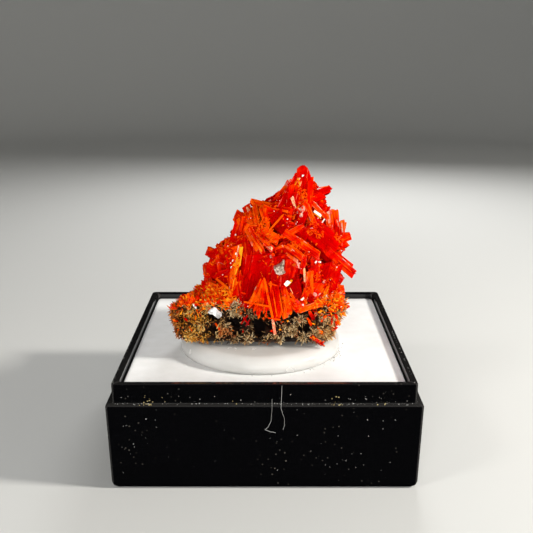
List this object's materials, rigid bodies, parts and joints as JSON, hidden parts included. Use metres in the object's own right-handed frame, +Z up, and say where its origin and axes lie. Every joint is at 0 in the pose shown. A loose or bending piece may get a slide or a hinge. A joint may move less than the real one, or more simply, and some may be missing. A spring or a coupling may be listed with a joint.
{
  "type": "crocoite crystal specimen on matrix in a display-box base",
  "caption": "Pointed mound of red-orange crocoite prisms on a rough ochre matrix, fixed by a clear round pad to the white insert of a black square display-box base.",
  "frame": {"origin": "centre of the underside of the display-box base", "axes": "+Z up out of the open top of the base, -Y towards the side that shows the specimen best, +X to that view's right"},
  "size_m": [0.032, 0.032, 0.0312],
  "materials": {
    "black_plastic": "glossy black moulded styrene with fine dust",
    "white_insert": "matt white foam",
    "clear_pad": "milky translucent mounting gel",
    "matrix_rock": "rough ochre, tan and black fibrous gossan",
    "crocoite": "adamantine translucent red-orange crystal",
    "pale_mineral": "pale grey to white broken mineral"
  },
  "bodies": {
    "root": {"display_box_base": "black_plastic", "foam_insert": "white_insert", "mounting_pad": "clear_pad", "matrix": "matrix_rock", "crocoite_crystals": "crocoite", "left_end_crystals": "crocoite", "right_end_crystals": "crocoite", "front_splinter": "crocoite", "grey_grain": "pale_mineral", "white_flake": "pale_mineral"}
  },
  "joints": []
}
